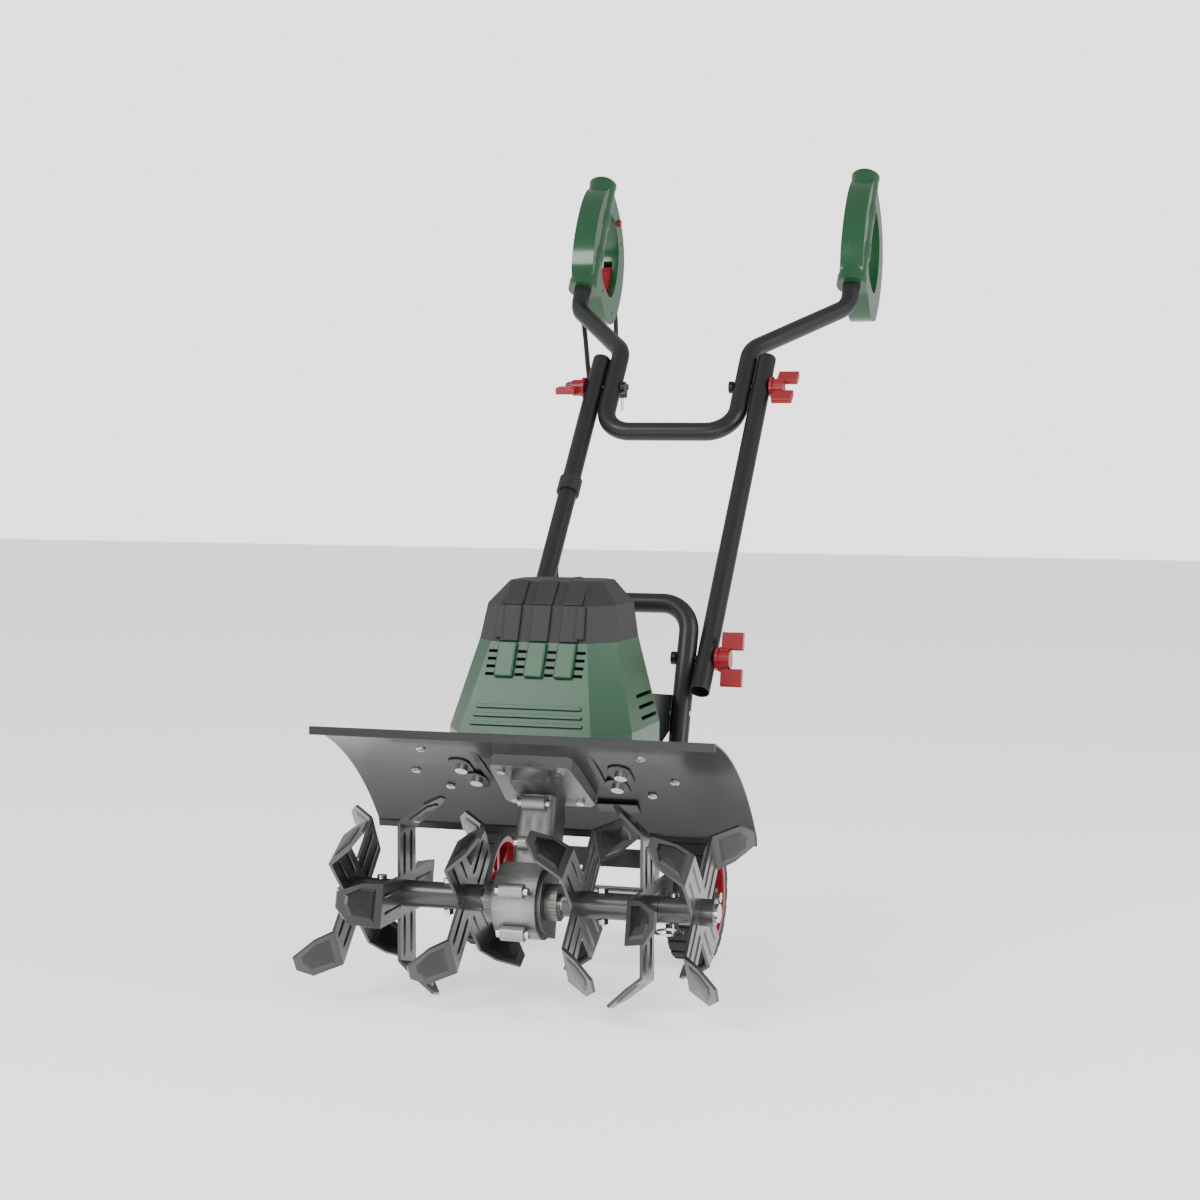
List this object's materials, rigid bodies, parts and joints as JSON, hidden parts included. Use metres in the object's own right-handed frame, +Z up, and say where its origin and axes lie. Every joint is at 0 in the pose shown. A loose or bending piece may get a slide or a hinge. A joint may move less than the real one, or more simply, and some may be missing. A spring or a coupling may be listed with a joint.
{
  "type": "electric garden tiller",
  "caption": "Walk-behind electric garden tiller: bladed tine shaft under a curved guard, upright motor, rear wheels, folding tube handle with two loop grips and a short mains cord.",
  "frame": {"origin": "on the ground, under the middle of the machine's outline", "axes": "+X across the machine to the right in the main view, -Y ahead over the tines, +Y back to the user, +Z up"},
  "size_m": [0.4708, 1.1152, 0.9878],
  "materials": {
    "guard_steel": "black satin powder coat",
    "black_tube": "black satin powder coat",
    "tine_steel": "black semi-gloss paint on pressed steel",
    "black_bolt": "black coated steel",
    "cast_alloy": "sand-rough die casting",
    "zinc": "bright zinc plate",
    "bright_steel": "ground steel",
    "bronze": "oil-soaked bronze",
    "lamination": "varnished laminations",
    "green_plastic": "dark green satin plastic",
    "green_gloss": "dark green glossy plastic",
    "grey_plastic": "dark grey grained plastic",
    "red_plastic": "red plastic",
    "black_plastic": "black plastic",
    "soft_black": "soft black over-moulding",
    "cable": "black cable sheath",
    "tyre": "black solid tread",
    "nickel": "nickel-plated brass"
  },
  "bodies": {
    "chassis": {"guard_sheet": "guard_steel", "gear_case_left": "cast_alloy", "gear_case_right": "cast_alloy", "case_screws": "zinc", "axle_bushes": "bronze", "motor_housing": "green_plastic", "motor_cap": "grey_plastic", "motor_plate": "cast_alloy", "body_bolts": "zinc", "shaft_bearings": "bright_steel", "stator": "lamination", "motor_frame": "grey_plastic", "lower_frame": "black_tube", "frame_brackets": "guard_steel", "frame_bolts": "zinc", "lower_pivot_bolts": "black_bolt"},
    "rotor": {"motor_shaft": "bright_steel", "armature": "lamination", "cooling_fan": "grey_plastic"},
    "tines": {"tine_axle": "bright_steel", "worm_wheel": "bronze", "hubs_inner": "tine_steel", "hubs_outer": "tine_steel", "stars_inner": "tine_steel", "stars_middle": "tine_steel", "stars_outer": "tine_steel", "hub_bolts": "zinc", "hitch_pins": "zinc", "pin_clips": "zinc"},
    "carrier": {"wheel_carrier": "guard_steel", "wheel_axle": "bright_steel", "axle_clips": "grey_plastic"},
    "wheel_left": {"tyre_left": "tyre", "rim_left": "red_plastic"},
    "wheel_right": {"tyre_right": "tyre", "rim_right": "red_plastic"},
    "mid_frame": {"mid_tube_left": "black_tube", "mid_tube_right": "black_tube", "cable_clip": "black_plastic", "motor_lead_lower": "cable"},
    "upper_handle": {"handle_bar": "black_tube", "upper_pivot_bolts": "black_bolt", "grip_left_outer": "green_gloss", "grip_left_inner": "green_gloss", "grip_right_outer": "green_gloss", "grip_right_inner": "green_gloss", "grip_screws": "zinc", "soft_inserts": "soft_black", "switch_block": "black_plastic", "cord_gland": "black_plastic", "mains_cord": "cable", "plug_body": "soft_black", "plug_pins": "nickel", "motor_lead_upper": "cable"},
    "knob_lower_left": {"knob_lower_left": "red_plastic"},
    "knob_lower_right": {"knob_lower_right": "red_plastic"},
    "knob_upper_left": {"knob_upper_left": "red_plastic"},
    "knob_upper_right": {"knob_upper_right": "red_plastic"},
    "trigger": {"trigger": "red_plastic"},
    "lock_button": {"lock_button": "red_plastic"}
  },
  "joints": [
    {"name": "tine_spin", "type": "hinge", "parent": "chassis", "child": "tines", "pos_m": [0, -0.43968, 0.1097], "axis": [1, 0, 0], "continuous": true},
    {"name": "motor_spin", "type": "hinge", "parent": "chassis", "child": "rotor", "pos_m": [0, -0.40993, 0.10099], "axis": [0, 0.2807, 0.9598], "continuous": true},
    {"name": "carrier_swing", "type": "hinge", "parent": "chassis", "child": "carrier", "pos_m": [0, -0.16888, 0.15], "axis": [1, 0, 0], "range_deg": [0, 80]},
    {"name": "wheel_left_spin", "type": "hinge", "parent": "carrier", "child": "wheel_left", "pos_m": [-0.127, -0.18768, 0.074], "axis": [1, 0, 0], "continuous": true},
    {"name": "wheel_right_spin", "type": "hinge", "parent": "carrier", "child": "wheel_right", "pos_m": [0.127, -0.18768, 0.074], "axis": [1, 0, 0], "continuous": true},
    {"name": "lower_fold", "type": "hinge", "parent": "chassis", "child": "mid_frame", "pos_m": [0, -0.09768, 0.344], "axis": [1, 0, 0], "range_deg": [0, 90], "deforming": ["motor_lead_lower"]},
    {"name": "upper_fold", "type": "hinge", "parent": "mid_frame", "child": "upper_handle", "pos_m": [0, 0.18732, 0.675], "axis": [-1, 0, 0], "range_deg": [0, 140], "deforming": ["motor_lead_upper"]},
    {"name": "knob_lower_left_turn", "type": "hinge", "parent": "chassis", "child": "knob_lower_left", "pos_m": [-0.134, -0.09768, 0.344], "axis": [1, 0, 0], "continuous": true},
    {"name": "knob_upper_left_turn", "type": "hinge", "parent": "upper_handle", "child": "knob_upper_left", "pos_m": [-0.134, 0.18732, 0.675], "axis": [1, 0, 0], "continuous": true},
    {"name": "knob_lower_right_turn", "type": "hinge", "parent": "chassis", "child": "knob_lower_right", "pos_m": [0.134, -0.09768, 0.344], "axis": [1, 0, 0], "continuous": true},
    {"name": "knob_upper_right_turn", "type": "hinge", "parent": "upper_handle", "child": "knob_upper_right", "pos_m": [0.134, 0.18732, 0.675], "axis": [1, 0, 0], "continuous": true},
    {"name": "trigger_pull", "type": "hinge", "parent": "upper_handle", "child": "trigger", "pos_m": [-0.194, 0.52033, 0.85404], "axis": [1, 0, 0], "range_deg": [0, 8], "stiffness_Nm_per_rad": 0.5, "springref_deg": -14.32},
    {"name": "lock_push", "type": "slide", "parent": "upper_handle", "child": "lock_button", "axis": [-1, 0, 0], "range_m": [0, 0.003], "stiffness_N_per_m": 250, "springref_m": -0.004}
  ],
  "couplings": [
    {"joint": "motor_spin", "follows": "tine_spin", "ratio": 28}
  ]
}
